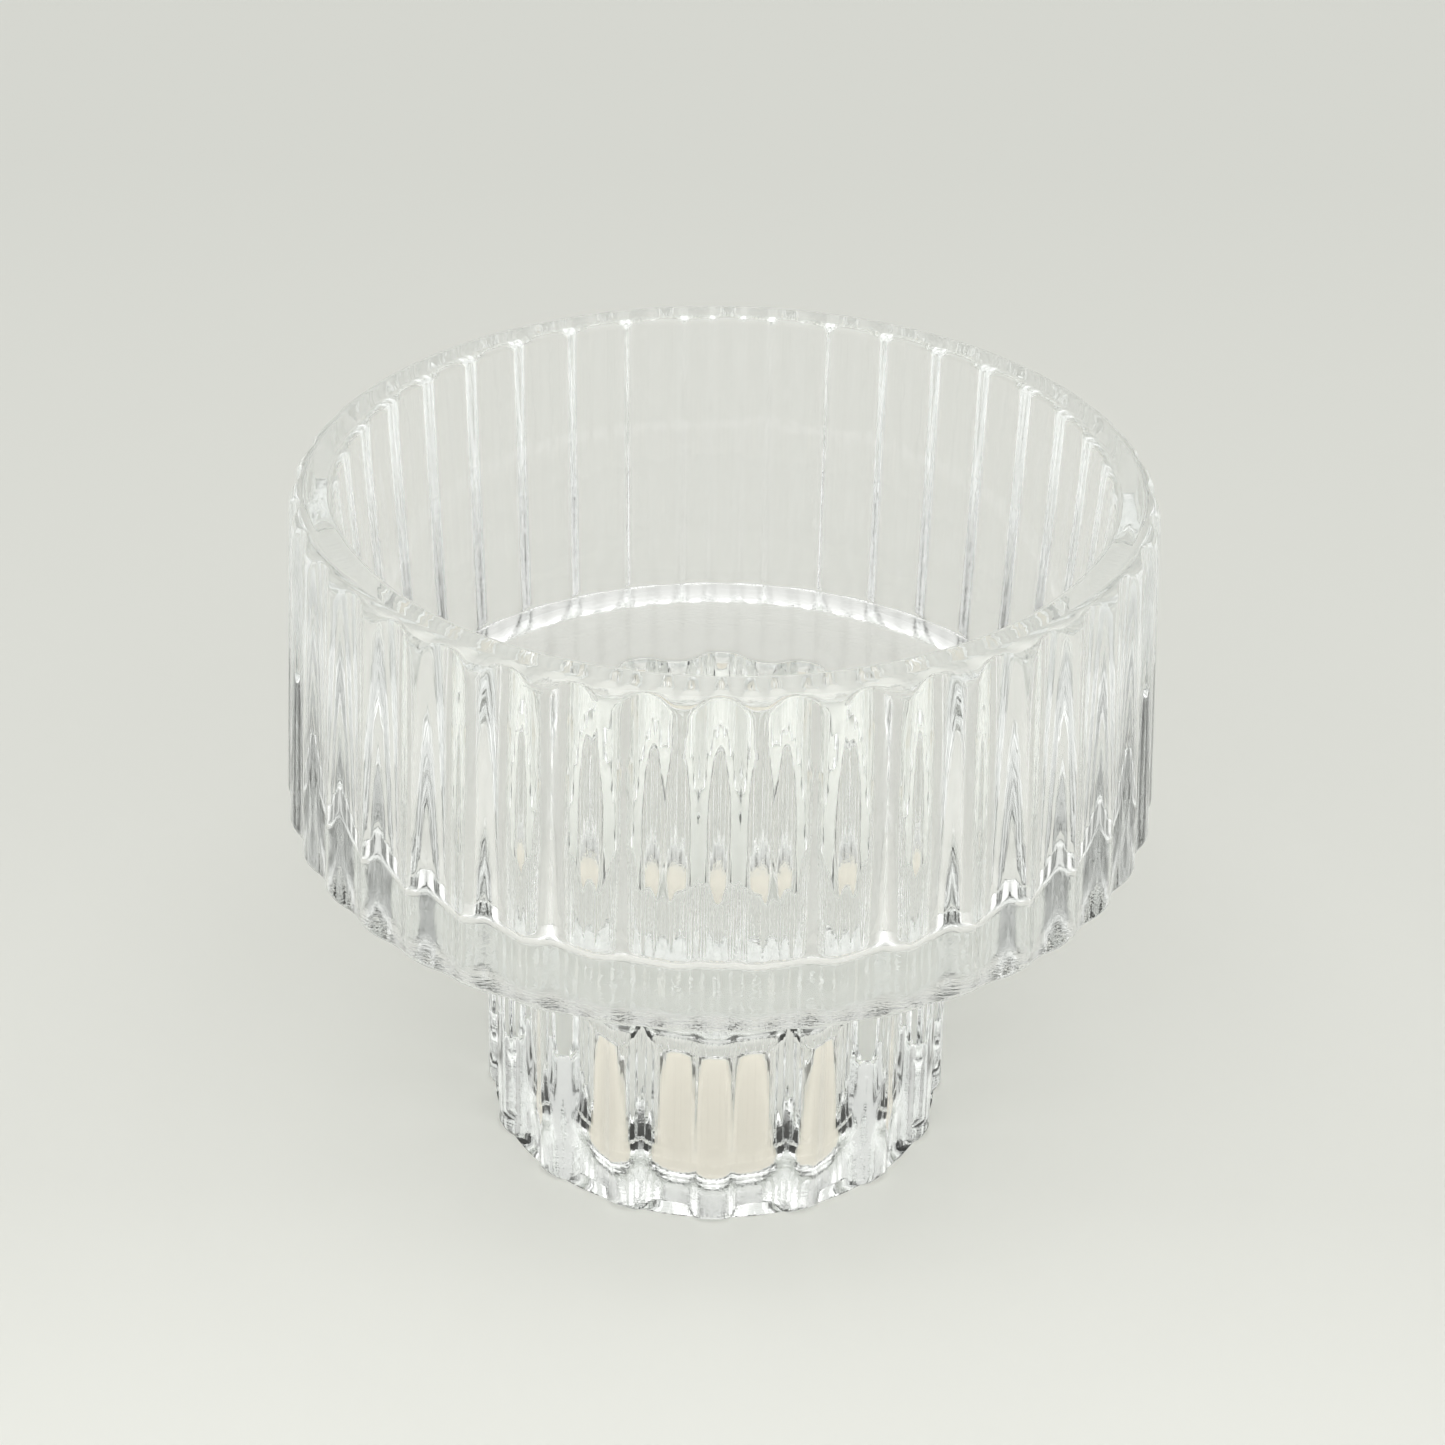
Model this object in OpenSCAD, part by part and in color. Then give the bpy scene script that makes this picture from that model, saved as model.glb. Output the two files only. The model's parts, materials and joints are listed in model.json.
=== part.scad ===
// Ribbed glass candle holder that works both ways up.
// Bowl up, it holds a tealight. Foot up, the socket in the foot holds a taper candle.
// The bowl and the foot are one pressing of clear glass. The base stands on z = 0, centred on the origin.

/* [Overall] */
// Height of the whole holder
total_h = 69; // [64:1:76]
// Height of the foot, from the table to the underside of the bowl
foot_h = 36; // [30:1:38]

/* [Bowl] */
// Outside diameter at the rim
rim_d = 80; // [78:0.5:82]
// Outside diameter at the bottom edge of the bowl
bowl_base_d = 83.6; // [82:0.2:85]
// Inside diameter at the rim
mouth_d = 71.4; // [66:0.2:72]
// Inside diameter just above the floor fillet
floor_d = 66.4; // [60:0.2:68]
// Thickness of the glass between the bowl's floor and its underside
floor_t = 2.3; // [1.5:0.1:5]
// Fillet between the inside wall and the floor
floor_fillet = 2; // [1:0.5:4]
// Rounding of the outer edge of the rim
rim_round = 1.8; // [1:0.1:2]
// Rounding of the inner edge of the rim
mouth_round = 0.8; // [0.4:0.1:1]
// Rounding of the bottom edge of the bowl
bowl_edge_round = 1.2; // [0.8:0.1:2]
// Number of flutes around the bowl
bowl_flutes = 40; // [36:4:40]
// Depth of a flute in the bowl
bowl_flute_depth = 0.9; // [0.4:0.1:1]
// Width of the rib left between two flutes of the bowl
bowl_rib_w = 0.8; // [0.6:0.1:1.6]

/* [Foot] */
// Diameter of the foot over its ribs, at the table
foot_d = 46.6; // [44:0.2:50]
// Diameter of the foot over its ribs, under the bowl
foot_top_d = 46; // [44:0.2:50]
// Rounding of the foot's bottom edge
foot_edge_round = 0.8; // [0.5:0.1:2]
// Number of flutes around the foot
foot_flutes = 16; // [12:2:16]
// Depth of a flute in the foot
foot_flute_depth = 1.7; // [0.6:0.1:1.8]
// Width of the rib left between two flutes of the foot
foot_rib_w = 1.6; // [1.2:0.2:3]

/* [Taper socket] */
// Diameter of the socket in the foot
socket_d = 22.6; // [21:0.2:25]
// Depth of the socket
socket_depth = 16; // [12:1:24]
// Rounding where the socket's wall meets its end
socket_end_round = 2; // [1:0.5:3]
// Rounding of the socket's mouth
socket_mouth_round = 2.5; // [0.5:0.5:3]

/* [Hidden] */
$fn = 96;

rim_r = rim_d / 2;
bowl_base_r = bowl_base_d / 2;
mouth_r = mouth_d / 2;
floor_r = floor_d / 2;
foot_r = foot_d / 2;
foot_top_r = foot_top_d / 2;
socket_r = socket_d / 2;
bowl_h = total_h - foot_h;
floor_z = foot_h + floor_t;
// How far the foot runs up into the bowl's floor, so that the two are one solid
foot_overlap = 1;
// How far a cutter runs past the glass that it cuts
past = 2;
// Straight steps in a quarter-circle rounding
steps = 5;

// Points of a circular arc in the r-z plane
function arc(r, z, radius, from, to) =
    [for (i = [0:steps]) let (a = from + (to - from) * i / steps) [r + radius * cos(a), z + radius * sin(a)]];

// Radius of the cylinder that cuts a flute of this width and depth
function cutter_r(width, depth) = (width * width / 4 + depth * depth) / (2 * depth);

// Round cutters for a ring of flutes in a wall that goes from radius r0 at z0 to radius r1 at z1
module flute_cutters(count, first, r0, z0, r1, z1, depth, rib) {
    r_mid = (r0 + r1) / 2;
    z_mid = (z0 + z1) / 2;
    lean = atan2(r1 - r0, z1 - z0);
    radius = cutter_r(2 * PI * r_mid / count - rib, depth);
    for (i = [0:count - 1])
        rotate([0, 0, first + i * 360 / count])
            translate([r_mid - depth + radius, 0, z_mid])
                rotate([0, lean, 0])
                    cylinder(h = z1 - z0 + 2 * past, r = radius, center = true);
}

// The bowl as a solid drum, with its edges rounded
module bowl_drum() {
    rotate_extrude()
        polygon(concat(
            [[0, foot_h]],
            arc(bowl_base_r - bowl_edge_round, foot_h + bowl_edge_round, bowl_edge_round, -90, 0),
            arc(rim_r - rim_round, total_h - rim_round, rim_round, 0, 90),
            [[0, total_h]]
        ));
}

// The hollow of the bowl, from the floor to above the rim
module bowl_hollow() {
    rotate_extrude()
        polygon(concat(
            [[0, floor_z]],
            arc(floor_r - floor_fillet, floor_z + floor_fillet, floor_fillet, -90, 0),
            arc(mouth_r + mouth_round, total_h - mouth_round, mouth_round, 180, 90),
            [[mouth_r + mouth_round, total_h + past], [0, total_h + past]]
        ));
}

// The foot as a solid drum that runs a little way into the bowl's floor
module foot_drum() {
    rotate_extrude()
        polygon(concat(
            [[0, 0]],
            arc(foot_r - foot_edge_round, foot_edge_round, foot_edge_round, -90, 0),
            [[foot_top_r, foot_h + foot_overlap], [0, foot_h + foot_overlap]]
        ));
}

// The socket's end, with its corner rounded
module socket_end() {
    rotate_extrude()
        polygon(concat(
            [[0, socket_depth - socket_end_round]],
            arc(socket_r - socket_end_round, socket_depth - socket_end_round, socket_end_round, 0, 90),
            [[0, socket_depth]]
        ));
}

// The ring of glass that rounds the socket's mouth
module socket_mouth() {
    rotate_extrude()
        polygon(concat(
            [[0, -past], [socket_r + socket_mouth_round, -past]],
            arc(socket_r + socket_mouth_round, socket_mouth_round, socket_mouth_round, -90, -180),
            [[0, socket_mouth_round]]
        ));
}

// The socket that a taper candle stands in
module taper_socket() {
    translate([0, 0, -past])
        cylinder(h = socket_depth - socket_end_round + past, r = socket_r);
    socket_end();
    socket_mouth();
}

// The whole holder: one piece of clear glass
module glass_holder() {
    color([0.86, 0.92, 0.89, 0.5])
        difference() {
            union() {
                difference() {
                    bowl_drum();
                    flute_cutters(bowl_flutes, 0, bowl_base_r, foot_h, rim_r, total_h, bowl_flute_depth, bowl_rib_w);
                }
                difference() {
                    foot_drum();
                    flute_cutters(foot_flutes, 180 / foot_flutes, foot_r, 0, foot_top_r, foot_h + foot_overlap,
                        foot_flute_depth, foot_rib_w);
                }
            }
            bowl_hollow();
            taper_socket();
        }
}

glass_holder();
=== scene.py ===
import json
import math
from collections import namedtuple

import bpy
import numpy as np
from mathutils import Euler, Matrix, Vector


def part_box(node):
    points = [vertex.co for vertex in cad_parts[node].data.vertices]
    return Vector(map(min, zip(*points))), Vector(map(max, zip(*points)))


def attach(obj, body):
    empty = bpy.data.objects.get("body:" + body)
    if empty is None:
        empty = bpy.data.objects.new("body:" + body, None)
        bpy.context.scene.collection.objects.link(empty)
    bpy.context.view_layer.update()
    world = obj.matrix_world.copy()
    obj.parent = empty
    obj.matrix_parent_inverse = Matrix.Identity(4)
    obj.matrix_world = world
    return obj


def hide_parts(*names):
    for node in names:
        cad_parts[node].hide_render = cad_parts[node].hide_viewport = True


# A ribbed glass holder for a tealight. One closed mesh of pressed glass takes the place of the CAD node.
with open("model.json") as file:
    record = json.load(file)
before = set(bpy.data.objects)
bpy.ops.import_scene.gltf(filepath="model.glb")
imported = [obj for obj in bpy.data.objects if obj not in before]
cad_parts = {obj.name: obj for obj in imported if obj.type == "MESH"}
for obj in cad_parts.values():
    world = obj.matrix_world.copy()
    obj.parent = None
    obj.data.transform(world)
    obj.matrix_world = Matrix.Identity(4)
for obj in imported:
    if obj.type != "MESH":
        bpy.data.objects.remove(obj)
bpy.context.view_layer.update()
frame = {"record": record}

MM = 0.001
mounts = {mount["name"]: mount for mount in frame["record"]["mounts"]}
low_corner, high_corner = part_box("glass_holder")

# Heights and radii that the frame gives
TOP = high_corner.z
FLOOR_Z = mounts["bowl_floor"]["pos_m"][2]
SOCKET_R = mounts["taper_socket"]["dims"]["r_mm"] * MM

# The bowl
UNDERSIDE_Z = FLOOR_Z - 2.3 * MM
RIM_R = 40 * MM
BOWL_BASE_R = 41.8 * MM
MOUTH_R = 35.7 * MM
FLOOR_R = 33.2 * MM
RIM_ROUND = 1.8 * MM
MOUTH_ROUND = 0.8 * MM
BOWL_EDGE_ROUND = 1.2 * MM
FLOOR_FILLET = 2 * MM
BOWL_SOFTNESS = 0.16 * MM

# The foot
FOOT_R = 23.3 * MM
FOOT_TOP_R = 23 * MM
FOOT_ROUND = 0.8 * MM
NECK_FILLET = 0.6 * MM
FOOT_SOFTNESS = 0.2 * MM

# Ribs: how many, the angle of the first, their height, and the half width of their round
RibbedWall = namedtuple("RibbedWall", "ribs first_rib height crest")
BOWL_WALL = RibbedWall(40, math.radians(4.5), 0.95 * MM, 1.5 * MM)
FOOT_WALL = RibbedWall(16, 0.0, 1.7 * MM, 1.8 * MM)

# The taper socket
SOCKET_DEPTH = 16 * MM
SOCKET_END_ROUND = 2 * MM
SOCKET_MOUTH_ROUND = 2.5 * MM

# Mesh columns all the way round: a whole number to each rib of the bowl and of the foot
COLUMNS = 800
# How much closer the columns stand at a rib than in a panel, from 0 to 1
CROWDING = 0.55
# Radius of the last ring of the bowl's floor, which a fan of triangles closes
FLOOR_FAN_R = 1 * MM

# The glass: its tint in depth, the upright draw lines of the mould and the slow waves of its surface
GLASS_IOR = 1.5
GLASS_TINT = (0.5, 0.75, 0.66, 1)
TINT_DENSITY = 1.0
LINE_SCALE = 2200
LINE_STRETCH = (1, 1, 0.03)
LINE_DEPTH = 0.02 * MM
LINES_IN_PANELS = 0.02
LINES_ON_RIBS = 0.12
LINES_ON_FOOT = 1.0
WAVE_SCALE = 260
WAVE_DEPTH = 0.025 * MM

# The table: off-white paper with painted light, paler at the very front and darker towards the back, and a
# painted warm bounce light in the shade inside the socket
PAINTED_LIGHT_FRONT_Y, PAINTED_SHADE_BACK_Y = -0.055, 0.25
PAPER_PAINTED_LIGHT_FRONT = (0.845, 0.848, 0.806, 1)
PAPER_PAINTED_LIGHT_MIDDLE = (0.764, 0.767, 0.729, 1)
PAPER_PAINTED_SHADE_BACK = (0.69, 0.695, 0.66, 1)
PAINTED_LIGHT_MIDDLE_AT = 0.12
PAINTED_WARM_BOUNCE = (0.88, 0.83, 0.73, 1)
TABLE_HALF = 2.5
TABLE_GAP = 0.1 * MM

# The studio's tones, by the direction they lie in
LOW_FRONT = (1.0, 1.0, 0.98, 1)
LOW_BACK = (0.64, 0.65, 0.63, 1)
LOW_SIDES = (0.03, 0.031, 0.029, 1)
HIGH_FRONT = (1.6, 1.6, 1.58, 1)
HIGH_BACK = (0.72, 0.73, 0.7, 1)
HIGH_SIDES = (1.25, 1.26, 1.23, 1)
CEILING_FRONT = (2.0, 2.0, 1.97, 1)
CEILING_BACK = (0.8, 0.81, 0.78, 1)
STUDIO_STRENGTH = 1.05

# The camera: where it stands, how far it tilts down and leans, its lens and its shift
CAMERA_DISTANCE = 0.2672
CAMERA_HEIGHT = 0.2044
CAMERA_PITCH = 31.2
CAMERA_ROLL = 1.0
SENSOR_MM = 36
LENS_MM = 80.8193771626
LENS_SHIFT = 0.00103806228


def arc(r, z, radius, start, end, rings):
    """Points of a rounding in the r-z plane, its first point left out."""
    angles = np.radians(np.linspace(start, end, rings + 1)[1:])
    return [(r + radius * math.cos(a), z + radius * math.sin(a)) for a in angles]


def line(start, end, rings):
    """Points of a straight run in the r-z plane, its first point left out."""
    steps = np.linspace(0, 1, rings + 1)[1:]
    run, rise = end[0] - start[0], end[1] - start[1]
    return [(start[0] + run * t, start[1] + rise * t) for t in steps]


def column_angles(wall):
    """Angles of the mesh columns, crowded towards the ribs."""
    share = np.arange(COLUMNS) / COLUMNS * wall.ribs
    crowded = share - CROWDING * np.sin(2 * math.pi * share) / (2 * math.pi)
    return crowded * 2 * math.pi / wall.ribs + wall.first_rib


def ribbed_wall(angles, wall, wall_r):
    """Radius of a wall of round ribs and hollow panels, at each angle.

    wall_r is the radius over the ribs.
    """
    pitch = 2 * math.pi / wall.ribs
    off = np.abs((angles - wall.first_rib + pitch / 2) % pitch - pitch / 2) * wall_r
    half = pitch * wall_r / 2
    steep = math.sin(2 * math.atan(wall.height / half))
    rib_r, panel_r = wall.crest / steep, (half - wall.crest) / steep
    rib = rib_r - np.sqrt(np.maximum(rib_r**2 - off**2, 0))
    panel = wall.height - panel_r + np.sqrt(np.maximum(panel_r**2 - (half - off) ** 2, 0))
    return wall_r - np.where(off < wall.crest, rib, panel)


def soft_min(a, b, softness):
    """The lower of two radii, with the corner between them rounded."""
    share = np.clip(0.5 + 0.5 * (b - a) / softness, 0, 1)
    return b * (1 - share) + a * share - softness * share * (1 - share)


class Skin:
    """A closed skin built up as rings, from the socket's end round to the bowl's floor."""

    def __init__(self):
        self.rings = []

    def add(self, radii, z, angles):
        x, y = radii * np.sin(angles), -radii * np.cos(angles)
        self.rings.append(np.stack([x, y, np.full(COLUMNS, z)], 1))

    def plain(self, points, angles):
        for r, z in points:
            self.add(np.full(COLUMNS, r), z, angles)

    def mesh(self, name):
        rows = len(self.rings)
        first_tip = Vector((0, 0, self.rings[0][0][2]))
        last_tip = Vector((0, 0, self.rings[-1][0][2]))
        verts = np.concatenate(self.rings + [np.array([first_tip, last_tip])])
        here = np.arange(COLUMNS)
        there = (here + 1) % COLUMNS
        faces = []
        for row in range(rows - 1):
            low, high = row * COLUMNS, (row + 1) * COLUMNS
            faces += np.stack([low + here, low + there, high + there, high + here], 1).tolist()
        first, last = rows * COLUMNS, rows * COLUMNS + 1
        faces += [(first, b, a) for a, b in zip(here.tolist(), there.tolist())]
        top = (rows - 1) * COLUMNS
        faces += [(last, top + a, top + b) for a, b in zip(here.tolist(), there.tolist())]
        mesh = bpy.data.meshes.new(name)
        mesh.from_pydata(verts.tolist(), [], faces)
        mesh.polygons.foreach_set("use_smooth", [True] * len(mesh.polygons))
        mesh.update()
        return mesh


def bowl_wall_r(z):
    """Outside radius of the bowl over its ribs."""
    return RIM_R + (BOWL_BASE_R - RIM_R) * (TOP - z) / (TOP - UNDERSIDE_Z)


def foot_wall_r(z):
    """Outside radius of the foot over its ribs."""
    return FOOT_R + (FOOT_TOP_R - FOOT_R) * z / UNDERSIDE_Z


def add_bowl_rows(skin, points, angles):
    for r, z in points:
        cut = ribbed_wall(angles, BOWL_WALL, bowl_wall_r(z))
        skin.add(soft_min(np.full(COLUMNS, r), cut, BOWL_SOFTNESS), z, angles)


def add_foot_rows(skin, points, angles):
    for r, z in points:
        cut = ribbed_wall(angles, FOOT_WALL, foot_wall_r(z))
        skin.add(soft_min(np.full(COLUMNS, r), cut, FOOT_SOFTNESS), z, angles)


def holder_mesh():
    skin = Skin()
    even = np.arange(COLUMNS) * 2 * math.pi / COLUMNS
    by_foot = column_angles(FOOT_WALL)
    by_bowl = column_angles(BOWL_WALL)

    # The socket's end and wall, down to its rounded mouth
    end_r, end_z = SOCKET_R - SOCKET_END_ROUND, SOCKET_DEPTH - SOCKET_END_ROUND
    skin.plain(line((0, SOCKET_DEPTH), (end_r, SOCKET_DEPTH), rings=4), even)
    skin.plain(arc(end_r, end_z, SOCKET_END_ROUND, 90, 0, rings=7), even)
    skin.plain(line((SOCKET_R, end_z), (SOCKET_R, SOCKET_MOUTH_ROUND), rings=3), even)
    mouth_edge_r = SOCKET_R + SOCKET_MOUTH_ROUND
    skin.plain(arc(mouth_edge_r, SOCKET_MOUTH_ROUND, SOCKET_MOUTH_ROUND, 180, 270, rings=4), even)

    # The base, the foot's edge and the foot's wall
    base_r = FOOT_R - FOOT_ROUND
    skin.plain(line((mouth_edge_r, 0), (base_r, 0), rings=3), by_foot)
    add_foot_rows(skin, arc(base_r, FOOT_ROUND, FOOT_ROUND, -90, 0, rings=12), by_foot)
    neck_z = UNDERSIDE_Z - NECK_FILLET
    add_foot_rows(skin, line((FOOT_R, FOOT_ROUND), (foot_wall_r(neck_z), neck_z), rings=6), by_foot)
    neck = ribbed_wall(by_foot, FOOT_WALL, FOOT_TOP_R)
    neck = soft_min(np.full(COLUMNS, FOOT_TOP_R), neck, FOOT_SOFTNESS)
    for r, z in arc(NECK_FILLET, neck_z, NECK_FILLET, 180, 90, rings=4):
        skin.add(neck + r, z, by_foot)

    # The bowl's underside, its bottom edge, its wall and its rim
    edge_r = BOWL_BASE_R - BOWL_EDGE_ROUND
    skin.plain(line((FOOT_TOP_R + 2 * NECK_FILLET, UNDERSIDE_Z), (edge_r, UNDERSIDE_Z), rings=4), by_bowl)
    edge_z = UNDERSIDE_Z + BOWL_EDGE_ROUND
    add_bowl_rows(skin, arc(edge_r, edge_z, BOWL_EDGE_ROUND, -90, 0, rings=10), by_bowl)
    rim_z = TOP - RIM_ROUND
    add_bowl_rows(skin, line((bowl_wall_r(edge_z), edge_z), (bowl_wall_r(rim_z), rim_z), rings=8), by_bowl)
    rim_edge_r = RIM_R - RIM_ROUND
    add_bowl_rows(skin, arc(rim_edge_r, rim_z, RIM_ROUND, 0, 90, rings=14), by_bowl)

    # The rim's flat, the mouth's edge, the inside wall, its fillet and the floor
    mouth_edge = MOUTH_R + MOUTH_ROUND
    skin.plain(line((rim_edge_r, TOP), (mouth_edge, TOP), rings=2), even)
    skin.plain(arc(mouth_edge, TOP - MOUTH_ROUND, MOUTH_ROUND, 90, 180, rings=6), even)
    fillet_z = FLOOR_Z + FLOOR_FILLET
    skin.plain(line((MOUTH_R, TOP - MOUTH_ROUND), (FLOOR_R, fillet_z), rings=5), even)
    fillet_r = FLOOR_R - FLOOR_FILLET
    skin.plain(arc(fillet_r, fillet_z, FLOOR_FILLET, 0, -90, rings=10), even)
    skin.plain(line((fillet_r, FLOOR_Z), (FLOOR_FAN_R, FLOOR_Z), rings=4), even)
    return skin.mesh("holder_glass")


def clear_glass():
    """Clear pressed glass, faintly green in depth, with fine upright draw lines on its walls."""
    mat = bpy.data.materials.new("clear_pressed_glass")
    mat.use_nodes = True
    nodes, links = mat.node_tree.nodes, mat.node_tree.links
    shader = nodes["Principled BSDF"]
    shader.inputs["Transmission Weight"].default_value = 1.0
    shader.inputs["Roughness"].default_value = 0.0
    shader.inputs["IOR"].default_value = GLASS_IOR
    shader.inputs["Base Color"].default_value = (1, 1, 1, 1)
    depth = nodes.new("ShaderNodeVolumeAbsorption")
    depth.inputs["Color"].default_value = GLASS_TINT
    depth.inputs["Density"].default_value = TINT_DENSITY
    links.new(depth.outputs["Volume"], nodes["Material Output"].inputs["Volume"])

    # The draw lines, which are noise stretched along the axis, and the waves
    coords = nodes.new("ShaderNodeTexCoord")
    stretch = nodes.new("ShaderNodeMapping")
    stretch.inputs["Scale"].default_value = LINE_STRETCH
    links.new(coords.outputs["Object"], stretch.inputs["Vector"])
    lines = nodes.new("ShaderNodeTexNoise")
    lines.inputs["Scale"].default_value = LINE_SCALE
    lines.inputs["Detail"].default_value = 1
    links.new(stretch.outputs["Vector"], lines.inputs["Vector"])
    waves = nodes.new("ShaderNodeTexNoise")
    waves.inputs["Scale"].default_value = WAVE_SCALE
    waves.inputs["Detail"].default_value = 2
    links.new(coords.outputs["Object"], waves.inputs["Vector"])

    # How strong the lines are: by the angle round the bowl, and in full on the foot
    axes = nodes.new("ShaderNodeSeparateXYZ")
    links.new(coords.outputs["Object"], axes.inputs["Vector"])
    turn = nodes.new("ShaderNodeMath")
    turn.operation = "ARCTAN2"
    links.new(axes.outputs["X"], turn.inputs[0])
    links.new(axes.outputs["Y"], turn.inputs[1])
    beats = nodes.new("ShaderNodeMath")
    beats.operation = "MULTIPLY"
    beats.inputs[1].default_value = BOWL_WALL.ribs
    links.new(turn.outputs["Value"], beats.inputs[0])
    beat = nodes.new("ShaderNodeMath")
    beat.operation = "COSINE"
    links.new(beats.outputs["Value"], beat.inputs[0])
    panel = nodes.new("ShaderNodeMapRange")
    panel.inputs["From Min"].default_value = -0.6
    panel.inputs["From Max"].default_value = 0.6
    panel.inputs["To Min"].default_value = LINES_IN_PANELS
    panel.inputs["To Max"].default_value = LINES_ON_RIBS
    links.new(beat.outputs["Value"], panel.inputs["Value"])
    foot = nodes.new("ShaderNodeMapRange")
    foot.inputs["From Min"].default_value = UNDERSIDE_Z
    foot.inputs["From Max"].default_value = UNDERSIDE_Z + 1 * MM
    foot.inputs["To Min"].default_value = LINES_ON_FOOT
    links.new(axes.outputs["Z"], foot.inputs["Value"])
    links.new(panel.outputs["Result"], foot.inputs["To Max"])

    fine = nodes.new("ShaderNodeBump")
    links.new(foot.outputs["Result"], fine.inputs["Strength"])
    fine.inputs["Distance"].default_value = LINE_DEPTH
    links.new(lines.outputs["Fac"], fine.inputs["Height"])
    broad = nodes.new("ShaderNodeBump")
    broad.inputs["Distance"].default_value = WAVE_DEPTH
    links.new(waves.outputs["Fac"], broad.inputs["Height"])
    links.new(fine.outputs["Normal"], broad.inputs["Normal"])
    links.new(broad.outputs["Normal"], shader.inputs["Normal"])
    return mat


def floor_material():
    """Off-white paper with painted light: a little paler towards the front, and warmer under the foot
    where a warm bounce light in the shade is painted.
    """
    mat = bpy.data.materials.new("pale_table")
    mat.use_nodes = True
    nodes, links = mat.node_tree.nodes, mat.node_tree.links
    shader = nodes["Principled BSDF"]
    shader.inputs["Roughness"].default_value = 0.85
    shader.inputs["Specular IOR Level"].default_value = 0.2
    coords = nodes.new("ShaderNodeTexCoord")
    axes = nodes.new("ShaderNodeSeparateXYZ")
    links.new(coords.outputs["Object"], axes.inputs["Vector"])
    # Painted light: the paper is paler at the front and darker at the back, standing in for the light
    # falling off across the table
    depth = nodes.new("ShaderNodeMapRange")
    depth.inputs["From Min"].default_value = PAINTED_LIGHT_FRONT_Y
    depth.inputs["From Max"].default_value = PAINTED_SHADE_BACK_Y
    links.new(axes.outputs["Y"], depth.inputs["Value"])
    paper = nodes.new("ShaderNodeValToRGB")
    front, back = paper.color_ramp.elements
    front.color = PAPER_PAINTED_LIGHT_FRONT
    back.color = PAPER_PAINTED_SHADE_BACK
    paper.color_ramp.elements.new(PAINTED_LIGHT_MIDDLE_AT).color = PAPER_PAINTED_LIGHT_MIDDLE
    links.new(depth.outputs["Result"], paper.inputs["Fac"])
    # Painted light: inside the socket the paper turns warm, standing in for the warm bounce light in the
    # shade under the foot
    reach = nodes.new("ShaderNodeVectorMath")
    reach.operation = "LENGTH"
    links.new(coords.outputs["Object"], reach.inputs[0])
    under = nodes.new("ShaderNodeMapRange")
    under.inputs["From Min"].default_value = SOCKET_R
    under.inputs["From Max"].default_value = SOCKET_R + SOCKET_MOUTH_ROUND
    links.new(reach.outputs["Value"], under.inputs["Value"])
    paper_with_painted_bounce = nodes.new("ShaderNodeMix")
    paper_with_painted_bounce.data_type = "RGBA"
    paper_with_painted_bounce.inputs["A"].default_value = PAINTED_WARM_BOUNCE
    links.new(under.outputs["Result"], paper_with_painted_bounce.inputs["Factor"])
    links.new(paper.outputs["Color"], paper_with_painted_bounce.inputs["B"])
    links.new(paper_with_painted_bounce.outputs["Result"], shader.inputs["Base Color"])
    return mat


def make_floor():
    half, gap = TABLE_HALF, TABLE_GAP
    mesh = bpy.data.meshes.new("table_top")
    corners = [(-half, -half, -gap), (half, -half, -gap), (half, half, -gap), (-half, half, -gap)]
    mesh.from_pydata(corners, [], [(0, 1, 2, 3)])
    floor = bpy.data.objects.new("table_top", mesh)
    bpy.context.scene.collection.objects.link(floor)
    mesh.materials.append(floor_material())


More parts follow.
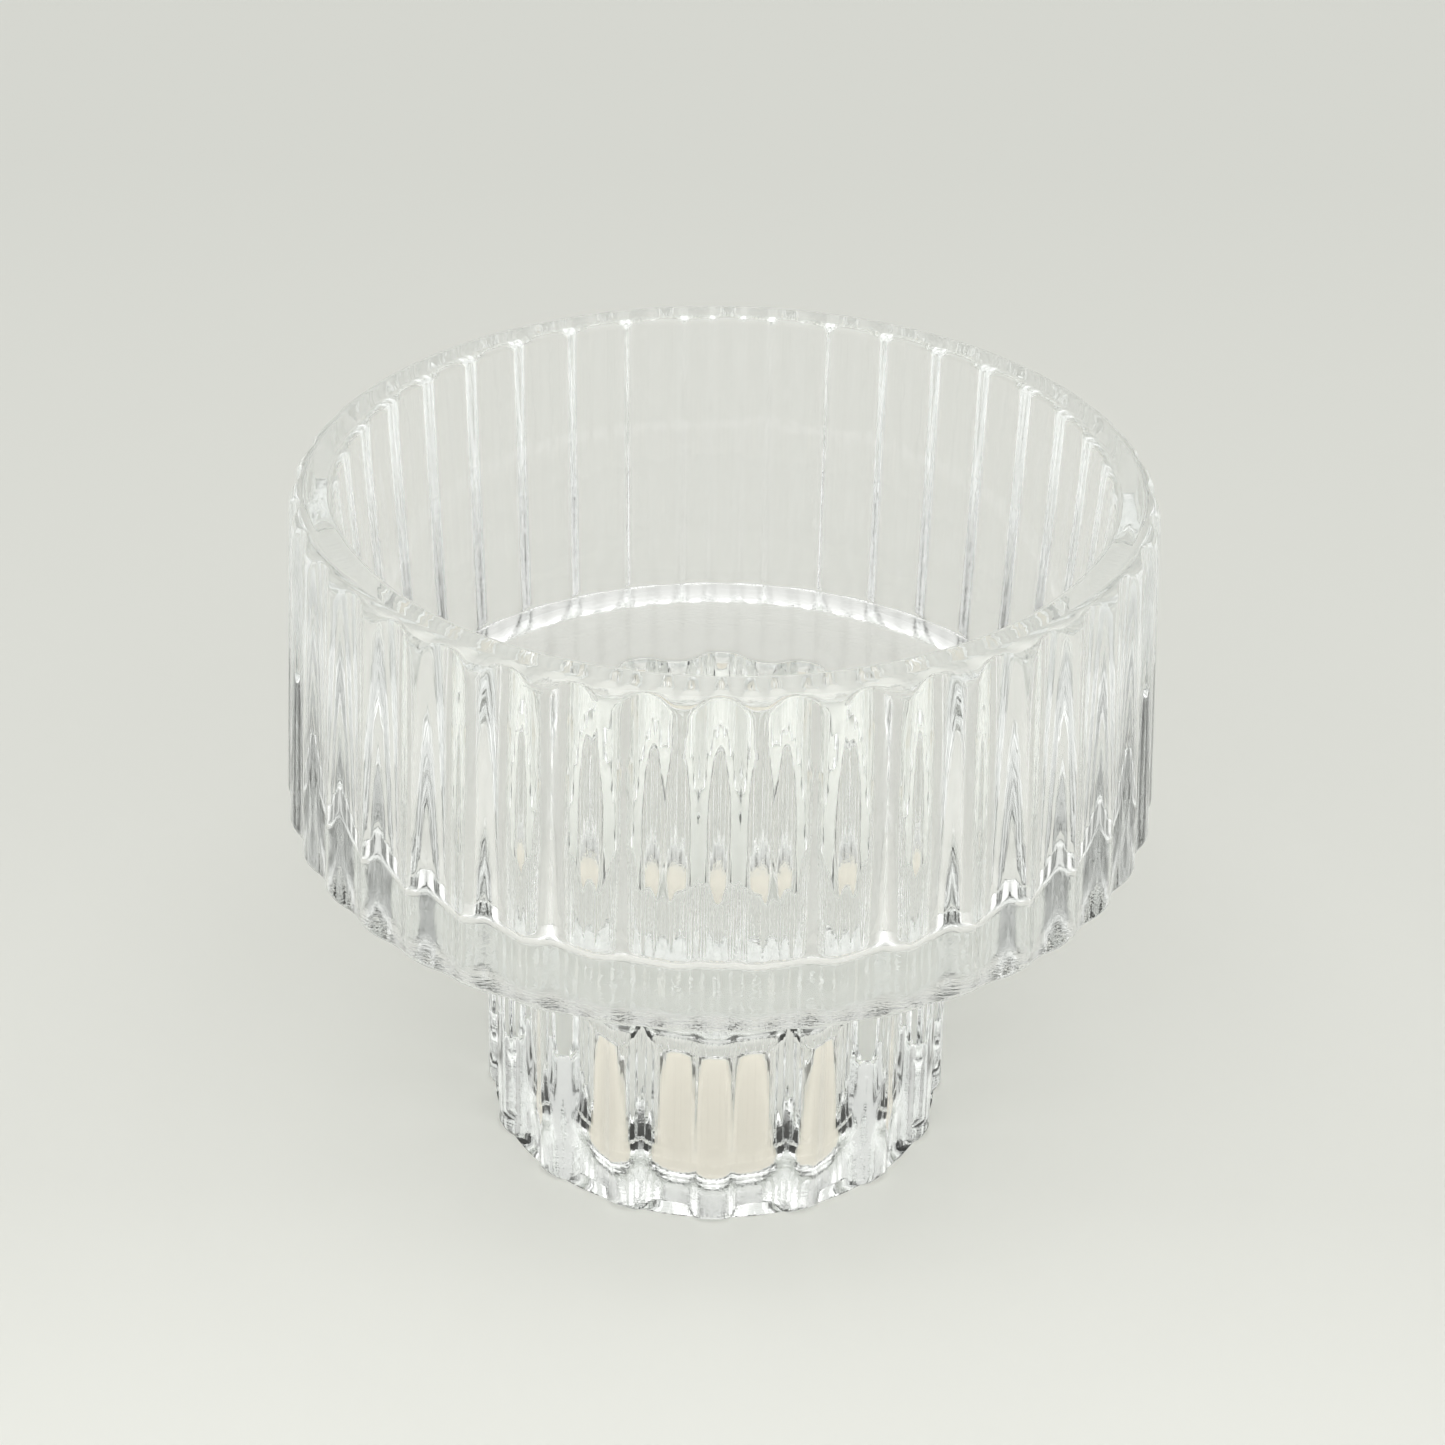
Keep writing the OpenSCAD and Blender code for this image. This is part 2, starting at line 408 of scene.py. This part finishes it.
def make_light():
    """A studio with a bright ceiling, pale walls before and behind, and darkness low at the sides."""
    world = bpy.data.worlds.new("studio")
    bpy.context.scene.world = world
    world.use_nodes = True
    nodes, links = world.node_tree.nodes, world.node_tree.links
    back = nodes["Background"]
    coords = nodes.new("ShaderNodeTexCoord")
    axes = nodes.new("ShaderNodeSeparateXYZ")
    links.new(coords.outputs["Generated"], axes.inputs["Vector"])

    def ramp(value, low, high):
        """0 below low and 1 above high, with a soft step between."""
        step = nodes.new("ShaderNodeMapRange")
        step.interpolation_type = "SMOOTHSTEP"
        step.inputs["From Min"].default_value = low
        step.inputs["From Max"].default_value = high
        links.new(value, step.inputs["Value"])
        return step.outputs["Result"]

    def blend(factor, first, second):
        """From first to second as the factor goes from 0 to 1. Each is a colour or another blend."""
        mix = nodes.new("ShaderNodeMix")
        mix.data_type = "RGBA"
        links.new(factor, mix.inputs["Factor"])
        for socket, colour in (("A", first), ("B", second)):
            if isinstance(colour, tuple):
                mix.inputs[socket].default_value = colour
            else:
                links.new(colour, mix.inputs[socket])
        return mix.outputs["Result"]

    sideways = nodes.new("ShaderNodeMath")
    sideways.operation = "ABSOLUTE"
    links.new(axes.outputs["X"], sideways.inputs[0])
    side, along, up = sideways.outputs["Value"], axes.outputs["Y"], axes.outputs["Z"]
    low_rear = blend(ramp(side, 0.2, 0.42), LOW_BACK, LOW_SIDES)
    low = blend(ramp(along, -0.62, -0.42), LOW_FRONT, low_rear)
    high_rear = blend(ramp(side, 0.4, 0.65), HIGH_BACK, HIGH_SIDES)
    high = blend(ramp(along, -0.4, -0.1), HIGH_FRONT, high_rear)
    walls = blend(ramp(up, 0.56, 0.64), low, high)
    ceiling = blend(ramp(along, -0.2, 0.05), CEILING_FRONT, CEILING_BACK)
    sky = blend(ramp(up, 0.84, 0.9), walls, ceiling)
    links.new(sky, back.inputs["Color"])
    back.inputs["Strength"].default_value = STUDIO_STRENGTH


def make_camera():
    lens = bpy.data.cameras.new("camera")
    lens.sensor_width = SENSOR_MM
    lens.lens = LENS_MM
    lens.shift_x = LENS_SHIFT
    camera = bpy.data.objects.new("camera", lens)
    bpy.context.scene.collection.objects.link(camera)
    camera.location = (0, -CAMERA_DISTANCE, CAMERA_HEIGHT)
    tilt = Euler((math.radians(90 - CAMERA_PITCH), 0, 0)).to_matrix()
    roll = Euler((0, 0, math.radians(CAMERA_ROLL))).to_matrix()
    camera.rotation_euler = (tilt @ roll).to_euler()
    bpy.context.scene.camera = camera


scene = bpy.context.scene
scene.view_settings.view_transform = "Standard"
scene.cycles.max_bounces = 32
scene.cycles.transmission_bounces = 32
scene.cycles.glossy_bounces = 16
scene.cycles.blur_glossy = 0.0

holder = bpy.data.objects.new("holder_glass", holder_mesh())
scene.collection.objects.link(holder)
holder.data.materials.append(clear_glass())
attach(holder, "root")
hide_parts("glass_holder")

make_floor()
make_light()
make_camera()
